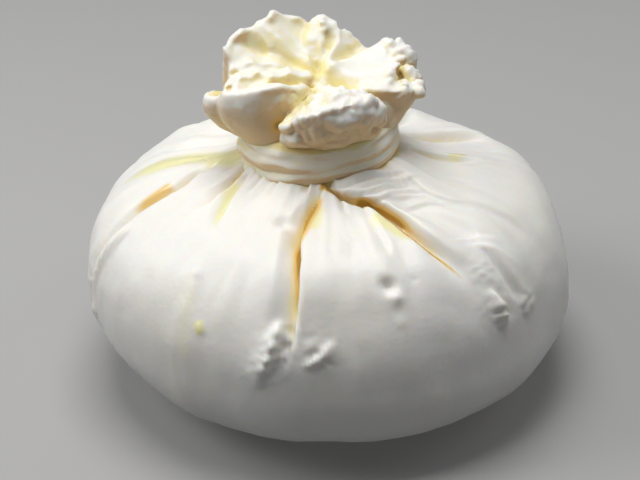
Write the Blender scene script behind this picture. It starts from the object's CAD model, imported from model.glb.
"""Burrata: the moist skin, folds, wrapped neck, ruffled topknot and oil of a ball of stretched curd.

Laid out as an add-on and run as a script.  Metres, +Z up; the front is -Y.  Azimuths are degrees round the
pouch, 0 at the front and 90 at the right.  A run is a distance along the skin, in millimetres, outward
from the gather under the collar.
"""

import math

import bpy
import numpy as np
from mathutils import Matrix, Vector, noise
from mathutils.bvhtree import BVHTree


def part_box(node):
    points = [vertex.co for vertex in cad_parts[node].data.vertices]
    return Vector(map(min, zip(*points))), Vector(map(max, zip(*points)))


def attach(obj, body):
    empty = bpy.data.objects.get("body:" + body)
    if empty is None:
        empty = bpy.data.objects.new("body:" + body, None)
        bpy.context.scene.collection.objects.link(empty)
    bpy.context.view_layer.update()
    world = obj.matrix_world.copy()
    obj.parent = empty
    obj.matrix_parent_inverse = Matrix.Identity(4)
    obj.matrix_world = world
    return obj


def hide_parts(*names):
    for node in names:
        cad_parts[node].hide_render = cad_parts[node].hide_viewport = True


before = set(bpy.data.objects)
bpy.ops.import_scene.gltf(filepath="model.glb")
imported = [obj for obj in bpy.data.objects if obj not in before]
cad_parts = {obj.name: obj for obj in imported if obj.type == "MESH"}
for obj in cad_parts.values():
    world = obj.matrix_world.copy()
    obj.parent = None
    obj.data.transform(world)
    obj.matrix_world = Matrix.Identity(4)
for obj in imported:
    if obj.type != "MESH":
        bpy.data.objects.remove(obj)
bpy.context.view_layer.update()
NODE = "burrata"
NODE_LOW, NODE_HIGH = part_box(NODE)

bl_info = {
    "name": "Burrata",
    "version": (1, 0, 0),
    "blender": (4, 5, 0),
    "location": "View3D > Sidebar > Burrata",
    "description": "Models a burrata with its folds, collar, topknot and oil",
    "category": "Object",
}

MM = 0.001
POUCH_SEGMENTS = 448
POUCH_RINGS = 200
GATHER_START = 14.0 * MM

# Which run each share of the rings reaches: dense on the folded top, sparse under the belly
RING_SHARES = (0.0, 0.005, 0.74, 0.91, 1.0)
RING_RUNS = (0.0, 0.06, 0.62, 0.8, 1.0)

# Where the pouch sags or bulges: azimuth, height, spread in degrees, spread in height, push (mm)
SAGS = (
    (100.0, 33.0, 35.0, 9.0, -1.5),
    (-58.0, 12.0, 28.0, 8.0, -1.5),
    (35.0, 11.0, 30.0, 8.0, 1.5),
    (-130.0, 38.0, 35.0, 9.0, 0.8),
    (0.0, 37.0, 48.0, 8.0, -2.0),
)

# Folds: stations of (azimuth, run), depth, width of the slope on the low side, width of the steep side,
# height and width of the panel that laps over from the high side, and how far it leans over (mm)
FOLDS = (
    (
        ((-1, 2), (-5.5, 8), (-9, 13), (-9.5, 18), (-8.5, 25), (-8, 33), (-9, 40), (-12, 48)),
        3.3, 3.3, 0.7, 0.6, 4.0, 0.7,
    ),
    (
        ((-4, 1), (4, 4.8), (12, 7.2), (22, 10.0), (27, 15), (29.5, 21), (33, 29), (37.5, 38)),
        2.3, 1.3, 3.4, 1.0, 5.0, 1.9,
    ),
    (((53, 3), (48, 11), (51, 17), (57, 22), (61, 31), (63, 41)), 0.4, 2.6, 2.4, 0.5, 4.0, 0.3),
    (
        ((-86, 7), (-79, 12), (-72.5, 16.5), (-70, 21), (-69.5, 27), (-69.5, 34), (-71, 42), (-76, 54)),
        4.2, 3.0, 0.8, 0.6, 3.0, 0.6,
    ),
    (((-66, 1), (-61, 6), (-57, 11), (-55, 19)), 2.4, 2.0, 0.7, 0.4, 2.0, 0.4),
    (((-58, 3), (-53, 9), (-46, 16), (-40, 23)), 1.1, 1.4, 1.2, 0.2, 2.0, 0.0),
    (((-36, 1), (-33, 5), (-32, 9)), 0.5, 0.9, 0.6, 0.1, 1.2, 0.0),
    (((-14, 1), (-13, 3), (-13, 6)), 0.8, 0.9, 0.5, 0.1, 1.0, 0.0),
    (((32, 9), (37, 14), (41, 19), (44, 25), (45, 31)), 1.5, 1.6, 4.2, 0.2, 3.0, 0.0),
    (((45, 28), (46, 35), (48, 44)), 0.9, 1.0, 1.8, 0.2, 1.5, 0.0),
    (((6, 5), (7, 8), (8, 12)), 0.7, 0.8, 0.6, 0.2, 1.0, 0.0),
    (((17, 8), (17, 12), (18, 20), (17, 26)), 0.7, 1.4, 0.7, 0.2, 1.6, 0.0),
    (((-128, 2), (-134, 16), (-131, 38)), 2.0, 3.6, 1.5, 0.8, 3.0, 0.4),
    (((-104, 2), (-108, 10), (-107, 22)), 1.2, 2.0, 1.4, 0.3, 2.0, 0.2),
    (((172, 2), (178, 15), (171, 42)), 2.4, 2.2, 3.8, 0.5, 3.0, 0.0),
    (((-155, 1), (-158, 12), (-154, 26)), 1.4, 1.8, 1.4, 0.4, 2.0, 0.2),
    (((150, 1), (146, 12), (149, 27)), 1.3, 1.6, 1.6, 0.4, 2.0, 0.2),
    (((122, 3), (127, 18), (121, 34)), 1.9, 3.4, 1.5, 0.7, 3.0, 0.4),
    (((84, 2), (88, 9), (92, 20)), 1.2, 1.8, 1.2, 0.4, 2.0, 0.2),
)

# Fine wrinkles where the skin twists into the collar, and torn ridges where the width is greater or the depth
# negative: stations of (azimuth, run), depth and width (mm)
WRINKLES = (
    (((-14, 1.5), (8, 3.2), (34, 3.6), (56, 6)), 0.9, 0.8),
    (((2, 3.6), (22, 6.2), (42, 7.4), (54, 9)), 0.9, 0.8),
    (((14, 4.2), (36, 5.6), (60, 8.5)), 0.7, 0.6),
    (((20, 8.6), (34, 10), (46, 13)), 0.6, 0.9),
    (((28, 9), (40, 9.6), (52, 11.5)), 0.5, 0.7),
    (((34, 13), (44, 15), (52, 19)), 0.4, 0.9),
    (((-66.5, 29), (-68, 37), (-73, 49)), -0.7, 1.8),
    (((-11.5, 37), (-13.5, 42.5), (-16, 48)), -1.6, 2.2),
    (((-7, 45.5), (-3, 43.5), (1, 40.5)), -0.9, 1.2),
    (((40, 37), (41.5, 41), (41.5, 45.5)), -1.3, 1.4),
    (((42, 27), (48, 30.5), (53, 38)), -0.3, 0.8),
    (((38, 25), (46, 26.5), (53, 31)), -0.2, 0.7),
    (((-48, 1.5), (-46, 5), (-45, 9)), 0.6, 0.7),
    (((-72, 1.5), (-74, 5), (-73, 9)), 0.6, 0.8),
)

# Small dents and lumps: azimuth, run, size across, height (mm)
MARKS = (
    (138, 17, 16.0, -3.0),
    (116, 19, 10.0, -1.2),
    (-107, 31, 11.0, -1.3),
    (-150, 20, 18.0, -1.3),
    (-18.5, 13.9, 1.7, -1.2),
    (14.7, 31.4, 1.5, -1.6),
    (16.0, 34.2, 1.3, 0.8),
    (16, 38.6, 1.1, 0.25),
    (-31, 41.0, 1.2, 0.45),
    (22, 31.0, 0.7, -0.2),
    (-37, 31.0, 0.9, 0.3),
)

# Where the skin is torn into crumbs: azimuth, run, size across, height (mm)
TORN_PATCHES = (
    (-12, 42.0, 3.2, 1.5),
    (-3, 43.0, 3.4, 1.1),
    (-15, 46.5, 3.6, 1.4),
    (41, 41.5, 3.4, 1.8),
    (50, 43.0, 2.6, 1.4),
    (-76, 46.0, 2.4, 1.2),
    (-71, 52.0, 2.4, 1.4),
    (41, 34.0, 2.4, 1.4),
)
CRUMB_GRAIN = 2.8 * MM
FINE_CRUMB_SHARE = 0.5

# Oil: stations of (azimuth, run), width (mm) and strength of the deep amber pools and the pale streaks
AMBER_POOLS = (
    (
        ((-3, 6), (-5, 9), (-7.6, 13), (-8.8, 17), (-9.9, 21), (-9.4, 25), (-8.8, 32), (-9.6, 42)),
        0.9, 1.2,
    ),
    (((-5, 3.0), (0, 4.2), (9, 6.6)), 0.8, 1.3),
    (((13, 7.2), (19, 8.4), (25, 11.2), (29, 15.6), (32, 21)), 1.2, 1.4),
    (((23, 12), (28, 18), (31, 25), (37, 38)), 0.6, 1.15),
    (((-78, 17.5), (-76, 21), (-74.6, 25), (-73.8, 30)), 1.4, 0.5),
    (((-61, 5), (-58.5, 9), (-56, 13)), 0.8, 0.6),
)
PALE_STREAKS = (
    (((-72, -2), (-83, 5), (-93, 11), (-95, 18), (-95, 27), (-95, 38)), 3.2, 0.78),
    (((-76, 1), (-66, 2.5), (-58, 3)), 1.8, 0.85),
    (((-3.5, 8.5), (-5, 13), (-6, 18)), 1.6, 0.6),
    (((-58, 6), (-52, 11), (-46, 16), (-40, 24)), 1.4, 0.6),
    (((-39, 28), (-36, 38), (-33, 56)), 3.0, 0.22),
    (((-32, 39.5), (-30.5, 42.5)), 1.2, 0.9),
    (((92, 11), (97, 17)), 1.6, 0.7),
    (((19, 12), (24, 17), (27, 24)), 2.2, 0.8),
)

# Ruffles: the outer rim of each as stations of (azimuth, reach from the neck's axis, height), the rim's
# thickness and how far the ruffle bellies out below its rim (mm)
RUFFLES = (
    (
        (
            (-120, 10.5, 70.0), (-126, 15.0, 74.0), (-138, 15.0, 75.3), (-149, 14.6, 75.3),
            (-160, 14.0, 74.2), (-169, 12.8, 73.4), (-171, 8.0, 70.2),
        ),
        1.4, 1.0,
    ),
    (
        (
            (-90, 16.5, 68.8), (-95, 18.6, 71.4), (-104, 18.1, 73.0), (-116, 16.8, 73.8),
            (-127, 14.9, 73.2), (-131, 10.5, 70.0),
        ),
        1.5, 1.2,
    ),
    (
        ((-85, 18.0, 69.6), (-91, 16.5, 70.8), (-98, 13.0, 70.5), (-108, 9.0, 69.0), (-130, 5.0, 66.8)),
        3.8, 0.8,
    ),
    (
        ((-74, 18.9, 68.4), (-76, 16.5, 69.5), (-79, 12.5, 69.4), (-84, 9.4, 68.4), (-100, 5.0, 66.6)),
        3.0, 0.8,
    ),
    (
        ((-64, 15.5, 67.6), (-68, 11.6, 69.0), (-70, 8.6, 69.4), (-66, 5.2, 68.6), (-40, 2.6, 66.6)),
        2.8, 0.8,
    ),
    (
        (
            (-90, 18.6, 63.0), (-85, 21.9, 64.4), (-78, 21.6, 65.6), (-70, 20.4, 66.9),
            (-61, 19.6, 68.0), (-48, 16.8, 69.0), (-38, 12.8, 69.2), (-31, 9.3, 68.6),
            (-28, 5.0, 66.4),
        ),
        2.6, 1.7,
    ),
    (
        ((48, 11.0, 62.0), (60, 14.0, 63.5), (78, 15.8, 63.5), (95, 16.4, 63.0), (112, 13.5, 62.0)),
        3.0, 1.2,
    ),
    (
        (
            (58, 11.5, 66.2), (68, 16.0, 66.8), (76, 19.0, 65.6), (84, 20.8, 65.0),
            (92, 20.2, 66.6), (101, 19.7, 68.8), (110, 19.0, 69.9), (120, 17.7, 69.8),
            (132, 15.2, 68.8), (140, 11.0, 66.8),
        ),
        2.6, -3.5,
    ),
    (
        (
            (183, 5.5, 69.2), (181, 10.2, 73.2), (176, 12.8, 74.9), (167, 13.2, 74.9),
            (158, 11.6, 73.0), (156, 6.0, 68.4),
        ),
        4.4, 0.8,
    ),
    (
        ((153, 7.0, 68.4), (152, 12.3, 71.4), (145, 14.2, 71.1), (136, 13.7, 69.0), (131, 8.5, 66.8)),
        4.2, 0.8,
    ),
)

# Bed: the curd between the ruffles. Heights in mm, the shares of the pole-to-pole way that its top, wall and
# floor take, and its rim as stations of (azimuth, reach, height) in mm
BED_HEIGHT = 64.8
BED_FOOT = 52.0
BED_SEGMENTS = 120
BED_RINGS = 96
BED_TOP_SHARE = 0.6
BED_WALL_SHARE = 0.25
BED_FLOOR_SHARE = 0.15
BED_DISHING = 1.3
BED_WALL_CURVE = 2.1
SPOKE_START = 4.0
OUT_OF_REACH = 99.0
BED_RIM = (
    (-180, 10.8, 71.4),
    (-165, 12.6, 73.2),
    (-145, 13.6, 73.8),
    (-128, 14.0, 72.8),
    (-108, 16.2, 71.8),
    (-92, 17.0, 69.4),
    (-75, 17.8, 67.4),
    (-60, 17.4, 67.4),
    (-46, 14.8, 67.0),
    (-37, 9.5, 60.5),
    (-33, 10.5, 59.0),
    (-28, 16.2, 61.4),
    (-12, 17.9, 64.8),
    (0, 18.6, 66.5),
    (10, 18.7, 67.2),
    (21, 18.7, 67.5),
    (35, 18.3, 67.0),
    (45, 18.4, 64.8),
    (54, 13.0, 64.0),
    (70, 14.0, 65.4),
    (95, 17.2, 66.8),
    (116, 16.8, 69.0),
    (140, 13.0, 68.4),
    (160, 11.6, 70.2),
)

# Spokes of the bed: azimuth, height of the rib or depth of the crease, and its width (mm)
BED_SPOKES = (
    (171, 2.4, 2.6),
    (145, 2.2, 2.4),
    (112, 1.0, 2.6),
    (86, 0.9, 2.2),
    (-128, 0.9, 1.4),
    (-34, -1.6, 1.2),
    (-112, -1.6, 1.2),
    (-174, -4.0, 1.0),
    (158, -3.2, 1.0),
    (130, -2.0, 1.1),
    (57, -1.8, 1.3),
    (-83, -1.4, 1.1),
    (-62, -1.2, 1.0),
)

# Ruffle sheets: points along and up each, the foot's greatest share of the rim's reach, the knee's height as
# a share of the way up, and how far the rim waves outward and upward
RUFFLE_COLUMNS = 60
RUFFLE_ROWS = 36
FOOT_REACH_LIMIT = 0.8
KNEE_HEIGHT_SHARE = 0.35
RIM_WAVE = 0.45 * MM
RIM_RISE = 0.35 * MM

# Places on the topknot: the neck's axis, a spot of oil at the front, and the warm hollow of the cup
NECK_CENTRE = Vector((-1.5 * MM, 0.0, 0.0))
ORANGE_SPOT = Vector((-9.0 * MM, -11.2 * MM, 60.0 * MM))
ORANGE_SPOT_SIZE = 1.6 * MM
CUP_CENTRE = Vector((-6.0 * MM, 7.0 * MM, 70.0 * MM))
CUP_REACH = 8.5 * MM
CUP_WARMTH = 0.14

# Outline of the pouch: steps in each half, and where its skin lifts towards the collar
PROFILE_STEPS = 600
LIFT_RADIUS = 15 * MM
LIFT_SPREAD = 6 * MM

# Folds: the shares of the way over which one deepens and fades, how its slopes widen on the way, the shape of
# the low slope and of the lapping lip, and the depth at which it is fully shaded
FOLD_ENTRY = 0.22
FOLD_EXIT = 0.3
FOLD_WIDTH_START = 0.6
FOLD_WIDTH_GAIN = 0.8
SLOPE_REACH = 1.5
SLOPE_CURVE = 1.25
LAP_NARROWING = 1.6
FULL_SHADE_DEPTH = 2.6 * MM
WRINKLE_STEEP_SHARE = 0.8
WRINKLE_LIP_SHARE = 0.3

# Oil: the shares of the way over which a streak comes and goes, and how it narrows
OIL_ENTRY = 0.25
OIL_HEAD_START = 0.1
OIL_EXIT = 0.35
OIL_WIDTH_START = 1.2
OIL_WIDTH_LOSS = 0.5

# Skin of the pouch: where it is pressed flat, how far the pleats reach, the soft swells as grain, offset in
# the noise and height, and the drawn fibres in the same way, which fade towards the belly
PRESSED_HEIGHT = 6 * MM
GATHER_REACH = 15 * MM
POUCH_SWELLS = (
    (17 * MM, 3.0, 0.5 * MM),
    (6 * MM, 9.0, 0.16 * MM),
)
FIBRES = (
    (1.0, 5.0, 0.4 * MM),
    (0.4, 8.0, 0.12 * MM),
)
FIBRE_FADE = 0.8
FIBRE_FADE_START = 45 * MM
FIBRE_FADE_LENGTH = 25 * MM
FIBRE_LENGTH = 22 * MM
FIBRES_ROUND = 9
NOISE_REACH = 60 * MM
NOISE_DROP = 0.7

# Topknot: the bend that all its ruffles share, its smoothing, then the grain and height of its lumps and of
# its torn crumbs, coarse to fine, and where its front lobe and right ruffle are torn
WARP_GRAIN = 9 * MM
WARP_AMOUNT = 0.9 * MM
WARP_OFFSETS = (11.0, 23.0, 37.0)
SOFTENING = 0.5
TOPKNOT_SMOOTHING = 5
TOPKNOT_LUMPS = (
    (6.0 * MM, 0.6 * MM),
    (1.9 * MM, 0.2 * MM),
)
TOPKNOT_CRUMBS = (
    (5.0 * MM, 1.6 * MM),
    (2.4 * MM, 0.7 * MM),
    (1.3 * MM, 0.3 * MM),
)
CRUMB_GAIN = 2.0
CRUMB_SINK = 0.25
TORN_START = 4 * MM
TORN_FRONT_AZIMUTH = 12.0
TORN_FRONT_SPREAD = 36.0
TORN_FRONT_LEVEL = 55 * MM
TORN_RIGHT_AZIMUTH = 95.0
TORN_RIGHT_SPREAD = 22.0
TORN_RIGHT_REACH = 13 * MM
TORN_RIGHT_LEVEL = 61 * MM

# Collar: each strand's level as a share of the collar's height and its bulge (mm), and its tube
STRANDS = (
    (0.2, 0.3),
    (0.55, 0.0),
    (0.86, -0.7),
)
STRAND_SEGMENTS = 180
STRAND_SIDES = 32
STRAND_INSET = 2.4 * MM
STRAND_RADIUS = 2.2 * MM
STRAND_FLATTENING = 0.85
STRAND_WAVE = 0.5 * MM
STRAND_RIPPLE = 0.3 * MM
CORE_SIDES = 90
CORE_INSET = 2.6 * MM
CORE_EXTRA = 4 * MM
CORE_DROP = 1 * MM
COLLAR_SMOOTHING = 3
COLLAR_LUMPS = (7 * MM, 0.7 * MM)
COLLAR_FIBRE_HEIGHT = 0.3 * MM
COLLAR_FIBRE_STEP = 1.1 * MM

# Hollows: how far a ray looks for other skin from the pouch, the collar and the topknot, and how many rays
# each point sends from how far off the skin; skin below the lowest level has no hollows
LOOK_DISTANCES = (4 * MM, 20 * MM, 20 * MM)
RAYS = 12
RAY_START = 0.15 * MM
LOWEST_HOLLOW = 30 * MM
DOWNWARD_SHADE = 0.35

# Stage: the floor, and each light's name and place
FLOOR_SIZE = 4.0
FLOOR_COLOUR = (0.42, 0.415, 0.41, 1.0)
FLOOR_ROUGHNESS = 0.8
SKY_COLOUR = (0.95, 0.97, 1.0, 1.0)
LIGHT_SIZE = 0.35
KEY_PLACE = (-0.01, 0.03, 0.63)
FILL_PLACE = (0.47, 0.05, 0.4)
SIDE_PLACE = (-0.47, 0.0, 0.4)
LIGHT_AIM = Vector((0.0, 0.0, 30 * MM))
TARGET_X = -1.75 * MM
SENSOR_WIDTH = 36.0
NEAREST_VIEW = 0.01

# Sockets of a Mix node that blends colours
MIX_SHARE = 0
MIX_FIRST = 6
MIX_SECOND = 7
MIX_RESULT = 2


def smooth_curve(stations, count):
    """Points along a Catmull-Rom curve through the stations, ends included."""
    knots = np.array(stations, dtype=float)
    knots = np.vstack([2 * knots[0] - knots[1], knots, 2 * knots[-1] - knots[-2]])
    spans = len(knots) - 3
    points = []
    for place in np.linspace(0.0, spans, count):
        span = min(int(place), spans - 1)
        t = place - span
        before, start, end, after = knots[span : span + 4]
        bend = 2 * before - 5 * start + 4 * end - after
        twist = 3 * start - before - 3 * end + after
        points.append(0.5 * (2 * start + (end - before) * t + bend * t**2 + twist * t**3))
    return np.array(points)


def ease(share):
    """A smooth step from 0 to 1."""
    share = np.clip(share, 0.0, 1.0)
    return share * share * (3.0 - 2.0 * share)


def skin_place(azimuth, run):
    """A place on the skin laid out flat as a disc round the gather."""
    return np.stack([run * np.sin(azimuth), -run * np.cos(azimuth)], axis=-1)


def along_path(places, stations):
    """Each place's distance from a path on the skin, its side, its share of the way and the way across."""
    count = 8 * len(stations)
    azimuth, run = smooth_curve(stations, count).T
    path = skin_place(np.radians(azimuth), run * MM + GATHER_START)
    nearest = np.full(len(places), np.inf)
    side = np.zeros(len(places))
    share_along = np.zeros(len(places))
    across = np.zeros((len(places), 2))
    for step in range(count - 1):
        start = path[step]
        stretch = path[step + 1] - start
        length = math.hypot(*stretch)
        offset = places - start
        share = np.clip(offset @ stretch / length**2, 0.0, 1.0)
        gap = offset - share[:, None] * stretch
        distance = np.hypot(gap[:, 0], gap[:, 1])
        closer = distance < nearest
        cross = stretch[0] * offset[:, 1] - stretch[1] * offset[:, 0]
        nearest[closer] = distance[closer]
        side[closer] = np.sign(cross[closer])
        share_along[closer] = (step + share[closer]) / (count - 1)
        across[closer] = np.array([-stretch[1], stretch[0]]) / length
    return nearest, side, share_along, across


def roughness_field(points, grain, offset):
    """Smooth noise of the given grain at each point, from -1 to 1."""
    shift = Vector((offset, 2.7 * offset, -1.3 * offset))
    return np.array([noise.noise(Vector(point) / grain + shift) for point in points])


def skin_profile(sizes):
    """The pouch's outline from its top centre to its bottom centre: run, radius and height."""
    turn = np.linspace(0.0, math.pi / 2, PROFILE_STEPS)
    top_share = np.sin(turn) ** (2 / sizes.shoulder_fullness)
    top_height = sizes.equator + sizes.shoulder_rise * np.cos(turn) ** (2 / sizes.shoulder_fullness)
    low_share = np.sin(turn[::-1]) ** (2 / sizes.belly_fullness)
    low_height = sizes.equator - sizes.belly_drop * np.cos(turn[::-1]) ** (2 / sizes.belly_fullness)
    radius = np.concatenate([top_share, low_share[1:]]) * sizes.width / 2
    height = np.maximum(np.concatenate([top_height, low_height[1:]]), 0.0)
    lift = sizes.gather_lift * np.exp(-(((radius - LIFT_RADIUS) / LIFT_SPREAD) ** 2))
    height = height + np.where(height > sizes.equator, lift, 0.0)
    run = np.concatenate([[0.0], np.cumsum(np.hypot(np.diff(radius), np.diff(height)))])
    return run, radius, height


def mesh_points(item):
    """The object's points as an array."""
    points = np.empty(len(item.data.vertices) * 3)
    item.data.vertices.foreach_get("co", points)
    return points.reshape(-1, 3)


def set_points(item, points):
    """Move the object's points."""
    item.data.vertices.foreach_set("co", np.ascontiguousarray(points, dtype=np.float32).ravel())
    item.data.update()


def set_attribute(item, name, values):
    """Store one number for each point of the object."""
    layer = item.data.attributes.new(name, "FLOAT", "POINT")
    layer.data.foreach_set("value", np.ascontiguousarray(values, dtype=np.float32))


def apply_modifiers(item):
    """Apply the object's modifiers, in order."""
    bpy.context.view_layer.objects.active = item
    for modifier in list(item.modifiers):
        bpy.ops.object.modifier_apply(modifier=modifier.name)


def deselect_all():
    """Clear the selection, so that an operator acts on the new piece alone."""
    bpy.ops.object.select_all(action="DESELECT")


class Wire:
    """A value in a material's nodes; arithmetic on it adds Math nodes."""

    def __init__(self, tree, socket):
        self.tree = tree
        self.socket = socket

    def _math(self, operation, first, second):
        return add_node(self.tree, "ShaderNodeMath", {"operation": operation}, {0: first, 1: second})

    def __add__(self, other):
        return self._math("ADD", self, other)

    __radd__ = __add__

    def __sub__(self, other):
        return self._math("SUBTRACT", self, other)

    def __rsub__(self, other):
        return self._math("SUBTRACT", other, self)

    def __mul__(self, other):
        return self._math("MULTIPLY", self, other)

    __rmul__ = __mul__


def add_node(tree, kind, settings, inputs, output=0):
    """Add a node with its settings, then its input values or links, and return the chosen output."""
    node = tree.nodes.new(kind)
    for name, value in settings.items():
        setattr(node, name, value)
    for name, value in inputs.items():
        if isinstance(value, Wire):
            tree.links.new(value.socket, node.inputs[name])
        else:
            node.inputs[name].default_value = value
    return Wire(tree, node.outputs[output])


def mix_colours(tree, share, first, second):
    """Blend two colours by a share."""
    inputs = {MIX_SHARE: share, MIX_FIRST: first, MIX_SECOND: second}
    return add_node(tree, "ShaderNodeMix", {"data_type": "RGBA"}, inputs, MIX_RESULT)


def skin_value(tree, name):
    """Read one of the numbers stored on the skin's points."""
    return add_node(tree, "ShaderNodeAttribute", {"attribute_name": name}, {}, "Fac")


def limited(tree, value, low, high):
    """The value's share of the way from low to high, kept between 0 and 1."""
    settings = {"clamp": True, "interpolation_type": "SMOOTHSTEP"}
    return add_node(tree, "ShaderNodeMapRange", settings, {"Value": value, "From Min": low, "From Max": high})


def new_material(name):
    """A material with one Principled shader; returns the material, its tree and the shader."""
    material = bpy.data.materials.new(name)
    material.use_nodes = True
    tree = material.node_tree
    return material, tree, tree.nodes["Principled BSDF"]


def curd_skin(name, colours, grain):
    """Moist stretched curd: milky white, warmer in its hollows, amber or pale yellow where oil lies."""
    material, tree, shader = new_material(name)
    place = add_node(tree, "ShaderNodeTexCoord", {}, {}, "Object")
    hollow = skin_value(tree, "hollow")
    cup = skin_value(tree, "cup")
    sunk = skin_value(tree, "sunk")
    amber = skin_value(tree, "amber")
    pale = skin_value(tree, "pale")
    cloud = add_node(tree, "ShaderNodeTexNoise", {}, {"Vector": place, "Scale": 45.0, "Detail": 3.0}, "Fac")
    fine = add_node(tree, "ShaderNodeTexNoise", {}, {"Vector": place, "Scale": 420.0, "Detail": 4.0}, "Fac")
    pores = add_node(tree, "ShaderNodeTexVoronoi", {}, {"Vector": place, "Scale": 900.0}, "Distance")

    colour = mix_colours(tree, limited(tree, cloud, 0.35, 0.7) * 0.5, colours.curd, colours.cream)
    colour = mix_colours(tree, limited(tree, hollow + sunk * 0.3, 0.02, 0.65), colour, colours.hollow)
    colour = mix_colours(tree, limited(tree, cup, 0.0, 0.5), colour, colours.cup)
    streaked = limited(tree, pale + cloud * 0.5, 0.35, 0.95)
    colour = mix_colours(tree, streaked, colour, colours.pale_oil)
    colour = mix_colours(tree, limited(tree, amber + cloud * 0.3, 0.2, 0.65), colour, colours.golden_oil)
    colour = mix_colours(tree, limited(tree, amber + cloud * 0.3, 0.65, 1.15), colour, colours.amber_oil)
    tree.links.new(colour.socket, shader.inputs["Base Color"])

    oiled = limited(tree, amber + pale, 0.1, 0.6)
    wet = 0.4 + cloud * 0.16 - oiled * 0.2
    tree.links.new(wet.socket, shader.inputs["Roughness"])
    shader.inputs["Specular IOR Level"].default_value = 0.4
    shader.inputs["Subsurface Weight"].default_value = 0.6
    shader.inputs["Subsurface Radius"].default_value = (1.0, 0.7, 0.4)
    shader.inputs["Subsurface Scale"].default_value = colours.glow_depth
    shader.inputs["Coat Roughness"].default_value = 0.12
    tree.links.new((oiled * 0.5 + 0.12).socket, shader.inputs["Coat Weight"])

    relief = fine * 0.7 + pores * 0.25 + cloud * 0.3
    bump = add_node(
        tree, "ShaderNodeBump", {}, {"Strength": 0.35, "Distance": grain, "Height": relief}, "Normal"
    )
    tree.links.new(bump.socket, shader.inputs["Normal"])
    return material


class BurrataPouch(bpy.types.PropertyGroup):
    """Sizes of the round pouch."""

    width: bpy.props.FloatProperty(
        name="Width", description="Width of the pouch", default=100.0 * MM, unit="LENGTH"
    )
    depth: bpy.props.FloatProperty(
        name="Depth", description="Depth of the pouch, front to back", default=98.0 * MM, unit="LENGTH"
    )
    equator: bpy.props.FloatProperty(
        name="Equator", description="Height of the widest level", default=21.0 * MM, unit="LENGTH"
    )
    shoulder_rise: bpy.props.FloatProperty(
        name="Shoulder rise", description="Rise from the widest level to the top",
        default=27.2 * MM, unit="LENGTH",
    )
    shoulder_fullness: bpy.props.FloatProperty(
        name="Shoulder fullness", description="2 is round, more is squarer", default=3.05
    )
    belly_drop: bpy.props.FloatProperty(
        name="Belly drop", description="Drop of the round belly before it flattens",
        default=24.0 * MM, unit="LENGTH",
    )
    belly_fullness: bpy.props.FloatProperty(
        name="Belly fullness", description="2 is round, more is squarer", default=2.25
    )
    gather_lift: bpy.props.FloatProperty(
        name="Gather lift", description="How far the skin rises to the collar",
        default=2.2 * MM, unit="LENGTH",
    )
    pleats: bpy.props.IntProperty(
        name="Pleats", description="Even shallow pleats round the gather", default=13
    )
    pleat_depth: bpy.props.FloatProperty(
        name="Pleat depth", description="Depth of the even pleats", default=0.25 * MM, unit="LENGTH"
    )


class BurrataTopknot(bpy.types.PropertyGroup):
    """Sizes of the collar and the topknot."""

    collar_radius: bpy.props.FloatProperty(
        name="Collar radius", description="Radius of the wrapped neck", default=16.4 * MM, unit="LENGTH"
    )
    collar_foot: bpy.props.FloatProperty(
        name="Collar foot", description="Height of the collar's lower edge",
        default=49.0 * MM, unit="LENGTH",
    )
    collar_top: bpy.props.FloatProperty(
        name="Collar top", description="Height of the collar's upper edge",
        default=56.0 * MM, unit="LENGTH",
    )
    collar_tilt: bpy.props.FloatProperty(
        name="Collar tilt", description="Tilt up to the right",
        default=math.radians(6.0), subtype="ANGLE",
    )
    grain: bpy.props.FloatProperty(
        name="Grain", description="Finest size kept when the ruffles fuse",
        default=0.42 * MM, unit="LENGTH",
    )
    foot_thickness: bpy.props.FloatProperty(
        name="Foot thickness", description="Thickness of a ruffle at its foot",
        default=4.0 * MM, unit="LENGTH",
    )
    foot_reach: bpy.props.FloatProperty(
        name="Foot reach", description="Distance of a ruffle's foot from the axis",
        default=11.0 * MM, unit="LENGTH",
    )
    foot_height: bpy.props.FloatProperty(
        name="Foot height", description="Height at which the ruffles start",
        default=54.0 * MM, unit="LENGTH",
    )


class BurrataColours(bpy.types.PropertyGroup):
    """Colours of the curd and its oil."""

    curd: bpy.props.FloatVectorProperty(
        name="Curd", description="Milky white skin",
        size=4, subtype="COLOR", default=(0.9, 0.885, 0.84, 1.0),
    )
    cream: bpy.props.FloatVectorProperty(
        name="Cream", description="Faint warm clouds in the skin",
        size=4, subtype="COLOR", default=(0.87, 0.84, 0.76, 1),
    )
    hollow: bpy.props.FloatVectorProperty(
        name="Hollow", description="Skin deep in the folds",
        size=4, subtype="COLOR", default=(0.79, 0.59, 0.35, 1.0),
    )
    cup: bpy.props.FloatVectorProperty(
        name="Cup", description="Skin inside the ruffles",
        size=4, subtype="COLOR", default=(0.88, 0.77, 0.38, 1.0),
    )
    pale_oil: bpy.props.FloatVectorProperty(
        name="Pale oil", description="Thin streaks of oil",
        size=4, subtype="COLOR", default=(0.9, 0.86, 0.5, 1.0),
    )
    golden_oil: bpy.props.FloatVectorProperty(
        name="Golden oil", description="Oil at the edges of the pools",
        size=4, subtype="COLOR", default=(0.84, 0.6, 0.22, 1.0),
    )
    amber_oil: bpy.props.FloatVectorProperty(
        name="Amber oil", description="Oil pooled in the folds",
        size=4, subtype="COLOR", default=(0.52, 0.3, 0.045, 1.0),
    )
    glow_depth: bpy.props.FloatProperty(
        name="Glow depth", description="How deep light soaks in", default=1.1 * MM, unit="LENGTH"
    )


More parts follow.
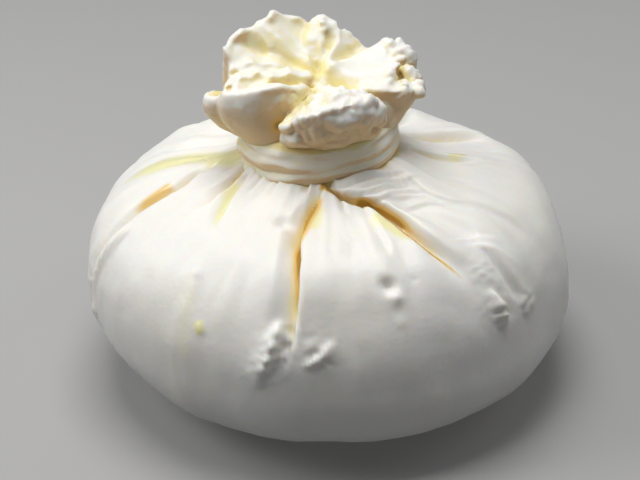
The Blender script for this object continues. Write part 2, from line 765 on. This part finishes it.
class BurrataStage(bpy.types.PropertyGroup):
    """The view and its light."""

    elevation: bpy.props.FloatProperty(
        name="Elevation", description="Height of the view", default=math.radians(29.5), subtype="ANGLE"
    )
    roll: bpy.props.FloatProperty(
        name="Roll", description="Lean of the view", default=math.radians(1.7), subtype="ANGLE"
    )
    distance: bpy.props.FloatProperty(
        name="Distance", description="From the camera to the pouch", default=373.5 * MM, unit="LENGTH"
    )
    target_height: bpy.props.FloatProperty(
        name="Target height", description="Height that the camera looks at",
        default=28.2 * MM, unit="LENGTH",
    )
    lens: bpy.props.FloatProperty(name="Lens", description="Focal length in millimetres", default=101.25)
    key_power: bpy.props.FloatProperty(
        name="Key light", description="Power of the big soft light overhead", default=2.5, unit="POWER"
    )
    fill_power: bpy.props.FloatProperty(
        name="Fill light", description="Power of the weak light at the right", default=0.4, unit="POWER"
    )
    side_power: bpy.props.FloatProperty(
        name="Side light", description="Power of the softer light at the left",
        default=1.65, unit="POWER",
    )
    sky: bpy.props.FloatProperty(name="Sky", description="Strength of the even light all round", default=0.15)


def fold_shape(places, stations, depth, low_width, high_width, lip, lip_width, lean):
    """A fold's push along the skin's normal and its slide across the skin, at each place."""
    nearest, side, along, across = along_path(places, stations)
    strength = ease(along / FOLD_ENTRY) * ease((1.0 - along) / FOLD_EXIT)
    widening = FOLD_WIDTH_START + FOLD_WIDTH_GAIN * along
    slope_width = low_width * widening * MM
    high_width = high_width * widening
    low = -depth * np.clip(1.0 - nearest / (SLOPE_REACH * slope_width), 0.0, 1.0) ** SLOPE_CURVE
    climb = ease(nearest / (high_width * MM))
    beyond = np.maximum(nearest - high_width * MM, 0.0) / (lip_width * MM)
    panel = lip * climb * np.exp(-(beyond**2))
    push = np.where(side < 0, low, -depth * (1.0 - climb) + panel)
    lap = np.where(side < 0, 0.0, lean * climb * np.exp(-((LAP_NARROWING * beyond) ** 2)))
    slide = -across * (strength * lap * MM)[:, None]
    return strength * push * MM, slide


def trace(places, streaks):
    """How strongly the streaks cover each place of the skin, from 0 to 1."""
    cover = np.zeros(len(places))
    for stations, width, strength in streaks:
        nearest, _, along, _ = along_path(places, stations)
        fade = ease(along / OIL_ENTRY + OIL_HEAD_START) * ease((1.0 - along) / OIL_EXIT)
        taper = width * (OIL_WIDTH_START - OIL_WIDTH_LOSS * along) * MM
        cover = np.maximum(cover, strength * fade * np.exp(-((nearest / taper) ** 2)))
    return cover


def places_in_round(azimuth, run):
    """Places for noise that closes up round the pouch."""
    reach = np.minimum(run, NOISE_REACH)
    return np.stack([reach * np.sin(azimuth), -reach * np.cos(azimuth), NOISE_DROP * run], axis=1)


def stretched_places(azimuth, run):
    """Places for noise drawn out into fibres along the skin's pull."""
    across = [FIBRES_ROUND * np.sin(azimuth), -FIBRES_ROUND * np.cos(azimuth)]
    return np.stack([*across, run / FIBRE_LENGTH], axis=1)


def fold_skin(places):
    """The push and the slide of all the folds together, at each place."""
    push = np.zeros(len(places))
    slide = np.zeros((len(places), 2))
    for fold in FOLDS:
        fold_push, fold_slide = fold_shape(places, *fold)
        push += fold_push
        slide += fold_slide
    return push, slide


def round_bumps(places, bumps):
    """Soft round bumps on the skin, from rows of azimuth, run, size across and height (mm)."""
    push = np.zeros(len(places))
    for azimuth, run, across, tall in bumps:
        gap = places - skin_place(np.radians(azimuth), run * MM + GATHER_START)
        push += tall * MM * np.exp(-(gap**2).sum(axis=1) / (across * MM) ** 2)
    return push


def fine_relief(sizes, azimuth, run, standing):
    """The push of the wrinkles, dents, torn crumbs, pleats, swells and drawn fibres together."""
    places = skin_place(azimuth, run)
    in_round = places_in_round(azimuth, run)
    push = round_bumps(places, MARKS)
    for stations, depth, width in WRINKLES:
        steep_width = WRINKLE_STEEP_SHARE * width
        lip = WRINKLE_LIP_SHARE * depth
        push += fold_shape(places, stations, depth, width, steep_width, lip, width, 0.0)[0]
    crumbs = np.abs(roughness_field(in_round, CRUMB_GRAIN, 6.0))
    crumbs += FINE_CRUMB_SHARE * np.abs(roughness_field(in_round, CRUMB_GRAIN / 2, 2.0))
    push += crumbs * round_bumps(places, TORN_PATCHES)
    gathered = np.exp(-((np.maximum(run - GATHER_START, 0.0) / GATHER_REACH) ** 2))
    push += sizes.pleat_depth * gathered * np.cos(sizes.pleats * azimuth)
    for grain, offset, height in POUCH_SWELLS:
        push += roughness_field(in_round, grain, offset) * height * standing
    drawn = 1.0 - FIBRE_FADE * ease((run - FIBRE_FADE_START) / FIBRE_FADE_LENGTH)
    along_pull = stretched_places(azimuth, run)
    for grain, offset, height in FIBRES:
        push += roughness_field(along_pull, grain, offset) * height * drawn
    return push


def sagging(azimuth, height):
    """How far the pouch sags in or bulges out at each place."""
    swell = np.zeros(len(azimuth))
    for centre, level, spread, tall, amount in SAGS:
        turn = (np.degrees(azimuth) - centre + 180.0) % 360.0 - 180.0
        rise = (height - level * MM) / (tall * MM)
        swell += amount * MM * np.exp(-((turn / spread) ** 2) - rise**2)
    return swell


class BURRATA_OT_pouch(bpy.types.Operator):
    """Model the round pouch with its folds, wrinkles, dents and torn crumbs"""

    bl_idname = "burrata.pouch"
    bl_label = "Pouch"

    def execute(self, context):
        sizes = context.scene.burrata_pouch
        deselect_all()
        bpy.ops.mesh.primitive_uv_sphere_add(
            segments=POUCH_SEGMENTS, ring_count=POUCH_RINGS, radius=sizes.width / 2
        )
        pouch = context.object
        pouch.name = "pouch"
        ball = mesh_points(pouch)
        polar = np.arccos(np.clip(ball[:, 2] / (sizes.width / 2), -1.0, 1.0)) / math.pi
        azimuth = np.arctan2(ball[:, 0], -ball[:, 1])

        run_line, radius_line, height_line = skin_profile(sizes)
        run = np.interp(polar, RING_SHARES, RING_RUNS) * run_line[-1]
        radius = np.interp(run, run_line, radius_line)
        height = np.interp(run, run_line, height_line)
        slope = np.arctan2(np.gradient(height_line, run_line), np.gradient(radius_line, run_line))
        slope = np.interp(run, run_line, slope)
        standing = ease(height / PRESSED_HEIGHT)

        places = skin_place(azimuth, run)
        fold_push, slide = fold_skin(places)
        push = fold_push + fine_relief(sizes, azimuth, run, standing)
        outward_slide = slide[:, 0] * np.sin(azimuth) - slide[:, 1] * np.cos(azimuth)
        round_slide = slide[:, 0] * np.cos(azimuth) + slide[:, 1] * np.sin(azimuth)
        swell = sagging(azimuth, height) - push * np.sin(slope) + outward_slide * np.cos(slope)
        x = (radius + swell) * np.sin(azimuth) + round_slide * np.cos(azimuth)
        reach_back = radius * sizes.depth / sizes.width + swell
        y = -reach_back * np.cos(azimuth) + round_slide * np.sin(azimuth)
        z = height + push * np.cos(slope) * standing + outward_slide * np.sin(slope)
        z = np.where(height > 0.0, np.maximum(z, 0.0), 0.0)
        x = x - (x.max() + x.min() - NODE_HIGH[0] - NODE_LOW[0]) / 2
        y = y - (y.max() + y.min() - NODE_HIGH[1] - NODE_LOW[1]) / 2
        set_points(pouch, np.stack([x, y, z], axis=1))
        set_attribute(pouch, "sunk", ease(-fold_push / FULL_SHADE_DEPTH))
        set_attribute(pouch, "amber", trace(places, AMBER_POOLS))
        set_attribute(pouch, "pale", trace(places, PALE_STREAKS))
        bpy.ops.object.shade_smooth()
        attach(pouch, "root")
        return {"FINISHED"}


def ruffle_sheet(sizes, stations, rim_thickness, belly, seed):
    """The middle sheet of a ruffle: rows of points from its foot in the neck up to its rim."""
    rim = smooth_curve(stations, RUFFLE_COLUMNS)
    share = np.linspace(0.0, 1.0, RUFFLE_COLUMNS)
    azimuth = np.radians(rim[:, 0])
    reach = (rim[:, 1] - rim_thickness / 2) * MM
    height = (rim[:, 2] - rim_thickness / 2) * MM
    foot_reach = np.minimum(sizes.foot_reach, reach * FOOT_REACH_LIMIT)
    outward = np.stack([np.sin(azimuth), -np.cos(azimuth), np.zeros_like(azimuth)], axis=-1)
    lift = np.array([0.0, 0.0, 1.0])
    foot = outward * foot_reach[:, None] + lift * sizes.foot_height
    edge = outward * reach[:, None] + lift * height[:, None]
    knee_height = (1.0 - KNEE_HEIGHT_SHARE) * sizes.foot_height + KNEE_HEIGHT_SHARE * height
    knee = outward * (reach + belly * MM)[:, None] + lift * knee_height[:, None]
    rows = np.linspace(0.0, 1.0, RUFFLE_ROWS)[:, None, None]
    sheet = (1 - rows) ** 2 * foot + 2 * rows * (1 - rows) * knee + rows**2 * edge
    wave = np.sin(2 * math.pi * (2.5 * share + 0.37 * seed))
    wave += 0.5 * np.sin(2 * math.pi * (5.2 * share + seed))
    sheet += outward * (RIM_WAVE * wave)[:, None] * np.sin(2.2 * rows)
    sheet += lift * (RIM_RISE * np.sin(2 * math.pi * (3.1 * share + 0.6 * seed)))[:, None] * rows**2
    return sheet + np.array(NECK_CENTRE)


def add_ruffle(sizes, number, stations, rim_thickness, belly):
    """One ruffle: a grid bent to its sheet and thickened, thin at its rim."""
    deselect_all()
    bpy.ops.mesh.primitive_grid_add(
        x_subdivisions=RUFFLE_COLUMNS - 1, y_subdivisions=RUFFLE_ROWS - 1, size=2.0
    )
    ruffle = bpy.context.object
    ruffle.name = "ruffle_%d" % number
    flat = mesh_points(ruffle)
    column = np.rint((flat[:, 0] + 1) / 2 * (RUFFLE_COLUMNS - 1)).astype(int)
    row = np.rint((flat[:, 1] + 1) / 2 * (RUFFLE_ROWS - 1)).astype(int)
    set_points(ruffle, ruffle_sheet(sizes, stations, rim_thickness, belly, number)[row, column])
    thin = rim_thickness * MM / sizes.foot_thickness
    thickness = ruffle.vertex_groups.new(name="thickness")
    for level in range(RUFFLE_ROWS):
        share = level / (RUFFLE_ROWS - 1)
        members = [int(index) for index in np.flatnonzero(row == level)]
        thickness.add(members, 1.0 + (thin - 1.0) * share, "REPLACE")
    shell = ruffle.modifiers.new("shell", "SOLIDIFY")
    shell.thickness = sizes.foot_thickness * max(1.0, thin)
    shell.offset = 0.0
    shell.vertex_group = "thickness"
    shell.thickness_vertex_group = 0.0
    apply_modifiers(ruffle)
    return ruffle


def add_bed(sizes):
    """The curd between the ruffles: a shallow dish with ribs and creases that meet at its middle."""
    deselect_all()
    bpy.ops.mesh.primitive_uv_sphere_add(segments=BED_SEGMENTS, ring_count=BED_RINGS, radius=1.0)
    bed = bpy.context.object
    ball = mesh_points(bed)
    polar = np.arccos(np.clip(ball[:, 2], -1.0, 1.0)) / math.pi
    azimuth = np.degrees(np.arctan2(ball[:, 0], -ball[:, 1]))
    stations = np.array(BED_RIM)
    rim_reach = np.interp(azimuth, stations[:, 0], stations[:, 1], period=360.0)
    rim_height = np.interp(azimuth, stations[:, 0], stations[:, 2], period=360.0)
    share = np.minimum(polar / BED_TOP_SHARE, 1.0)
    reach = rim_reach * share
    height = BED_HEIGHT + (rim_height - BED_HEIGHT) * share**BED_DISHING
    for spoke, tall, width in BED_SPOKES:
        turn = np.radians((azimuth - spoke + 180.0) % 360.0 - 180.0)
        gap = np.where(np.abs(turn) < math.pi / 2, reach * np.sin(turn), OUT_OF_REACH)
        height += tall * ease(reach / SPOKE_START) * np.exp(-((gap / width) ** 2))
    wall = np.clip((polar - BED_TOP_SHARE) / BED_WALL_SHARE, 0.0, 1.0)
    foot = sizes.foot_reach / MM
    reach = reach + (foot - reach) * wall**BED_WALL_CURVE
    height = height + (BED_FOOT - height) * wall
    reach = reach * (1.0 - np.clip((polar - 1.0 + BED_FLOOR_SHARE) / BED_FLOOR_SHARE, 0.0, 1.0))
    x = reach * np.sin(np.radians(azimuth))
    y = -reach * np.cos(np.radians(azimuth))
    set_points(bed, np.stack([x, y, height], axis=1) * MM + np.array(NECK_CENTRE))
    return bed


def warp(item, grain, amount):
    """Bend the piece softly, all its points near one another moving alike."""
    points = mesh_points(item)
    bend = [roughness_field(points, grain, offset) for offset in WARP_OFFSETS]
    set_points(item, points + amount * np.stack(bend, axis=1))


def crumble(item, torn, grain, height):
    """Raise rounded crumbs with sharp creases between them where the piece is torn."""
    points = mesh_points(item)
    normals = np.empty(len(points) * 3)
    item.data.vertices.foreach_get("normal", normals)
    crumbs = np.abs(roughness_field(points, grain, 4.0)) * CRUMB_GAIN - CRUMB_SINK
    set_points(item, points + normals.reshape(-1, 3) * (torn * crumbs * height)[:, None])


def lumpy(item, grain, height):
    """Raise soft lumps of the given grain over the piece."""
    texture = bpy.data.textures.new("lumps", "CLOUDS")
    texture.noise_scale = grain
    texture.noise_depth = 1
    lumps = item.modifiers.new("lumps", "DISPLACE")
    lumps.texture = texture
    lumps.texture_coords = "LOCAL"
    lumps.strength = height
    lumps.mid_level = 0.5
    apply_modifiers(item)


def fuse(item, grain, smoothing):
    """Fuse the joined parts into one closed skin and soften it."""
    fused = item.modifiers.new("fused", "REMESH")
    fused.mode = "VOXEL"
    fused.voxel_size = grain
    soft = item.modifiers.new("soft", "SMOOTH")
    soft.factor = SOFTENING
    soft.iterations = smoothing
    apply_modifiers(item)


def torn_places(points):
    """How torn the topknot is at each point: its front curd and the right ruffle's rim."""
    offset = points - np.array(NECK_CENTRE)
    azimuth = np.degrees(np.arctan2(offset[:, 0], -offset[:, 1]))
    reach = np.hypot(offset[:, 0], offset[:, 1])
    front = ease(1.6 - np.abs(azimuth - TORN_FRONT_AZIMUTH) / TORN_FRONT_SPREAD)
    front *= ease((points[:, 2] - TORN_FRONT_LEVEL) / TORN_START)
    right = ease(1.8 - np.abs(azimuth - TORN_RIGHT_AZIMUTH) / TORN_RIGHT_SPREAD)
    right *= ease((reach - TORN_RIGHT_REACH) / TORN_START)
    right *= ease((points[:, 2] - TORN_RIGHT_LEVEL) / (3 * MM))
    return np.maximum(front * ease(reach / (5 * MM)) * 0.7, right * 1.2)


class BURRATA_OT_topknot(bpy.types.Operator):
    """Model the ruffled topknot: bent, thickened sheets fused with the curd between them"""

    bl_idname = "burrata.topknot"
    bl_label = "Topknot"

    def execute(self, context):
        sizes = context.scene.burrata_topknot
        deselect_all()
        topknot = add_bed(sizes)
        ruffles = []
        for number, (stations, rim_thickness, belly) in enumerate(RUFFLES):
            ruffles.append(add_ruffle(sizes, number, stations, rim_thickness, belly))
        deselect_all()
        for ruffle in ruffles:
            ruffle.select_set(True)
        topknot.select_set(True)
        context.view_layer.objects.active = topknot
        bpy.ops.object.join()
        topknot.name = "topknot"
        topknot.vertex_groups.clear()
        warp(topknot, WARP_GRAIN, WARP_AMOUNT)
        fuse(topknot, sizes.grain, TOPKNOT_SMOOTHING)
        for grain, height in TOPKNOT_LUMPS:
            lumpy(topknot, grain, height)
        torn = torn_places(mesh_points(topknot))
        for grain, height in TOPKNOT_CRUMBS:
            crumble(topknot, torn, grain, height)
        gap = mesh_points(topknot) - np.array(ORANGE_SPOT)
        set_attribute(topknot, "amber", np.exp(-(gap**2).sum(axis=1) / ORANGE_SPOT_SIZE**2))
        bpy.ops.object.shade_smooth()
        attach(topknot, "root")
        return {"FINISHED"}


def add_strand(sizes, level, bulge):
    """One wavy strand of twisted skin round the neck."""
    deselect_all()
    bpy.ops.mesh.primitive_torus_add(
        major_segments=STRAND_SEGMENTS,
        minor_segments=STRAND_SIDES,
        major_radius=sizes.collar_radius - STRAND_INSET + bulge * MM,
        minor_radius=STRAND_RADIUS,
    )
    strand = bpy.context.object
    points = mesh_points(strand)
    around = np.arctan2(points[:, 0], -points[:, 1])
    points[:, 2] *= STRAND_FLATTENING
    points[:, 2] += sizes.collar_foot + level * (sizes.collar_top - sizes.collar_foot)
    wave = STRAND_WAVE * np.sin(around * 2 + 5 * level)
    points[:, 2] += wave + STRAND_RIPPLE * np.sin(around * 3 + 9 * level)
    set_points(strand, points)
    return strand


def draw_fibres(collar, tilt):
    """Raise fine fibres that run round the collar."""
    points = mesh_points(collar)
    around = np.arctan2(points[:, 0] - NECK_CENTRE.x, -points[:, 1])
    outward = np.stack([np.sin(around), -np.cos(around), np.zeros(len(points))], axis=1)
    level = points[:, 2] - math.tan(tilt) * points[:, 0]
    places = np.stack([3 * np.sin(around), -3 * np.cos(around), level / COLLAR_FIBRE_STEP], axis=1)
    points += outward * (roughness_field(places, 1.0, 2.0) * COLLAR_FIBRE_HEIGHT)[:, None]
    set_points(collar, points)


class BURRATA_OT_collar(bpy.types.Operator):
    """Model the collar: the twisted skin wound round the neck"""

    bl_idname = "burrata.collar"
    bl_label = "Collar"

    def execute(self, context):
        sizes = context.scene.burrata_topknot
        strands = [add_strand(sizes, level, bulge) for level, bulge in STRANDS]
        middle = (sizes.collar_top + sizes.collar_foot) / 2 - CORE_DROP
        deselect_all()
        bpy.ops.mesh.primitive_cylinder_add(
            vertices=CORE_SIDES,
            radius=sizes.collar_radius - CORE_INSET,
            depth=sizes.collar_top - sizes.collar_foot + CORE_EXTRA,
            location=(0.0, 0.0, middle),
        )
        for strand in strands:
            strand.select_set(True)
        bpy.ops.object.join()
        collar = context.object
        collar.name = "collar"
        bpy.ops.object.transform_apply(location=True, rotation=True, scale=True)
        fuse(collar, sizes.grain, COLLAR_SMOOTHING)
        points = mesh_points(collar)
        points[:, 2] += math.tan(sizes.collar_tilt) * points[:, 0]
        points += np.array(NECK_CENTRE)
        set_points(collar, points)
        lumpy(collar, *COLLAR_LUMPS)
        draw_fibres(collar, sizes.collar_tilt)
        bpy.ops.object.shade_smooth()
        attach(collar, "root")
        return {"FINISHED"}


def find_hollows(pieces):
    """Store on each point how much of the sky above its skin the other skin hides nearby."""
    points = []
    triangles = []
    for piece in pieces:
        start = len(points)
        points += [vertex.co.copy() for vertex in piece.data.vertices]
        triangles += [tuple(start + index for index in face.vertices) for face in piece.data.polygons]
    tree = BVHTree.FromPolygons(points, triangles)
    golden = math.pi * (3 - math.sqrt(5))
    for piece, distance in zip(pieces, LOOK_DISTANCES):
        hidden = np.zeros(len(piece.data.vertices))
        facing_up = np.zeros(len(piece.data.vertices))
        for index, vertex in enumerate(piece.data.vertices):
            if vertex.co.z < LOWEST_HOLLOW:
                continue
            normal = vertex.normal
            facing_up[index] = normal.z
            side = normal.orthogonal().normalized()
            other = normal.cross(side)
            start = vertex.co + normal * RAY_START
            hits = 0
            for ray in range(RAYS):
                level = (ray + 0.5) / RAYS
                flat = math.sqrt(level)
                turn = golden * ray
                way = side * (flat * math.cos(turn)) + other * (flat * math.sin(turn))
                way += normal * math.sqrt(1 - level)
                if tree.ray_cast(start, way, distance)[0] is not None:
                    hits += 1
            hidden[index] = hits / RAYS
        if piece.name == "pouch":
            hidden **= 2
        else:
            hidden += DOWNWARD_SHADE * ease((0.5 - facing_up) / 0.6)
        cup = ease(facing_up / 0.5)
        set_attribute(piece, "hollow", hidden * (1.0 - cup))
        gap = mesh_points(piece) - np.array(CUP_CENTRE)
        inside = CUP_WARMTH * np.exp(-(gap**2).sum(axis=1) / CUP_REACH**2)
        set_attribute(piece, "cup", (hidden + inside) * cup)


class BURRATA_OT_skin(bpy.types.Operator):
    """Find the hollows of every piece and give each its moist skin"""

    bl_idname = "burrata.skin"
    bl_label = "Skin"

    def execute(self, context):
        colours = context.scene.burrata_colours
        pieces = [bpy.data.objects[name] for name in ("pouch", "collar", "topknot")]
        find_hollows(pieces)
        for piece in pieces:
            for name in ("amber", "pale", "sunk"):
                if name not in piece.data.attributes:
                    set_attribute(piece, name, np.zeros(len(piece.data.vertices)))
            piece.data.materials.clear()
            piece.data.materials.append(curd_skin(piece.name + " curd", colours, 0.25 * MM))
        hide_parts(NODE)
        return {"FINISHED"}


def add_light(name, place, power):
    """A soft square light that faces the burrata."""
    light_data = bpy.data.lights.new(name, "AREA")
    light_data.size = LIGHT_SIZE
    light_data.energy = power
    light = bpy.data.objects.new(name, light_data)
    bpy.context.scene.collection.objects.link(light)
    light.location = place
    aim = LIGHT_AIM - Vector(place)
    light.rotation_euler = aim.to_track_quat("-Z", "Y").to_euler()


class BURRATA_OT_stage(bpy.types.Operator):
    """Set the floor, the soft lights and the camera"""

    bl_idname = "burrata.stage"
    bl_label = "Stage"

    def execute(self, context):
        stage = context.scene.burrata_stage
        deselect_all()
        bpy.ops.mesh.primitive_plane_add(size=FLOOR_SIZE)
        floor = context.object
        floor.name = "floor"
        material, _, shader = new_material("pale floor")
        shader.inputs["Base Color"].default_value = FLOOR_COLOUR
        shader.inputs["Roughness"].default_value = FLOOR_ROUGHNESS
        floor.data.materials.append(material)
        floor.visible_diffuse = False

        add_light("key", KEY_PLACE, stage.key_power)
        add_light("fill", FILL_PLACE, stage.fill_power)
        add_light("side", SIDE_PLACE, stage.side_power)
        context.scene.view_settings.view_transform = "Standard"
        world = bpy.data.worlds.new("sky")
        world.use_nodes = True
        background = world.node_tree.nodes["Background"]
        background.inputs["Color"].default_value = SKY_COLOUR
        background.inputs["Strength"].default_value = stage.sky
        context.scene.world = world

        camera_data = bpy.data.cameras.new("camera")
        camera_data.lens = stage.lens
        camera_data.sensor_width = SENSOR_WIDTH
        camera_data.clip_start = NEAREST_VIEW
        camera = bpy.data.objects.new("camera", camera_data)
        context.scene.collection.objects.link(camera)
        target = Vector((TARGET_X, 0.0, stage.target_height))
        back = Vector((0.0, -math.cos(stage.elevation), math.sin(stage.elevation)))
        level_right = Vector((1.0, 0.0, 0.0))
        level_up = back.cross(level_right)
        right = level_right * math.cos(stage.roll) - level_up * math.sin(stage.roll)
        up = level_right * math.sin(stage.roll) + level_up * math.cos(stage.roll)
        turn = Matrix((right, up, back)).transposed().to_4x4()
        camera.matrix_world = Matrix.Translation(target + back * stage.distance) @ turn
        context.scene.camera = camera
        return {"FINISHED"}


class BURRATA_PT_panel(bpy.types.Panel):
    """The burrata's steps and sizes"""

    bl_idname = "BURRATA_PT_panel"
    bl_label = "Burrata"
    bl_space_type = "VIEW_3D"
    bl_region_type = "UI"
    bl_category = "Burrata"

    def draw(self, context):
        layout = self.layout
        for operator in OPERATORS:
            layout.operator(operator.bl_idname)
        for name, group in GROUPS.items():
            box = layout.box()
            for size in group.__annotations__:
                box.prop(getattr(context.scene, name), size)


GROUPS = {
    "burrata_pouch": BurrataPouch,
    "burrata_topknot": BurrataTopknot,
    "burrata_colours": BurrataColours,
    "burrata_stage": BurrataStage,
}
OPERATORS = (
    BURRATA_OT_stage,
    BURRATA_OT_pouch,
    BURRATA_OT_collar,
    BURRATA_OT_topknot,
    BURRATA_OT_skin,
)


def register():
    """Register the groups, the steps and the panel."""
    for name, group in GROUPS.items():
        bpy.utils.register_class(group)
        setattr(bpy.types.Scene, name, bpy.props.PointerProperty(type=group))
    for operator in OPERATORS:
        bpy.utils.register_class(operator)
    bpy.utils.register_class(BURRATA_PT_panel)


def unregister():
    """Remove them again, in the opposite order."""
    bpy.utils.unregister_class(BURRATA_PT_panel)
    for operator in reversed(OPERATORS):
        bpy.utils.unregister_class(operator)
    for name, group in reversed(GROUPS.items()):
        delattr(bpy.types.Scene, name)
        bpy.utils.unregister_class(group)


def main():
    """Model the burrata."""
    register()
    bpy.ops.burrata.stage()
    bpy.ops.burrata.pouch()
    bpy.ops.burrata.collar()
    bpy.ops.burrata.topknot()
    bpy.ops.burrata.skin()


if __name__ == "__main__":
    main()
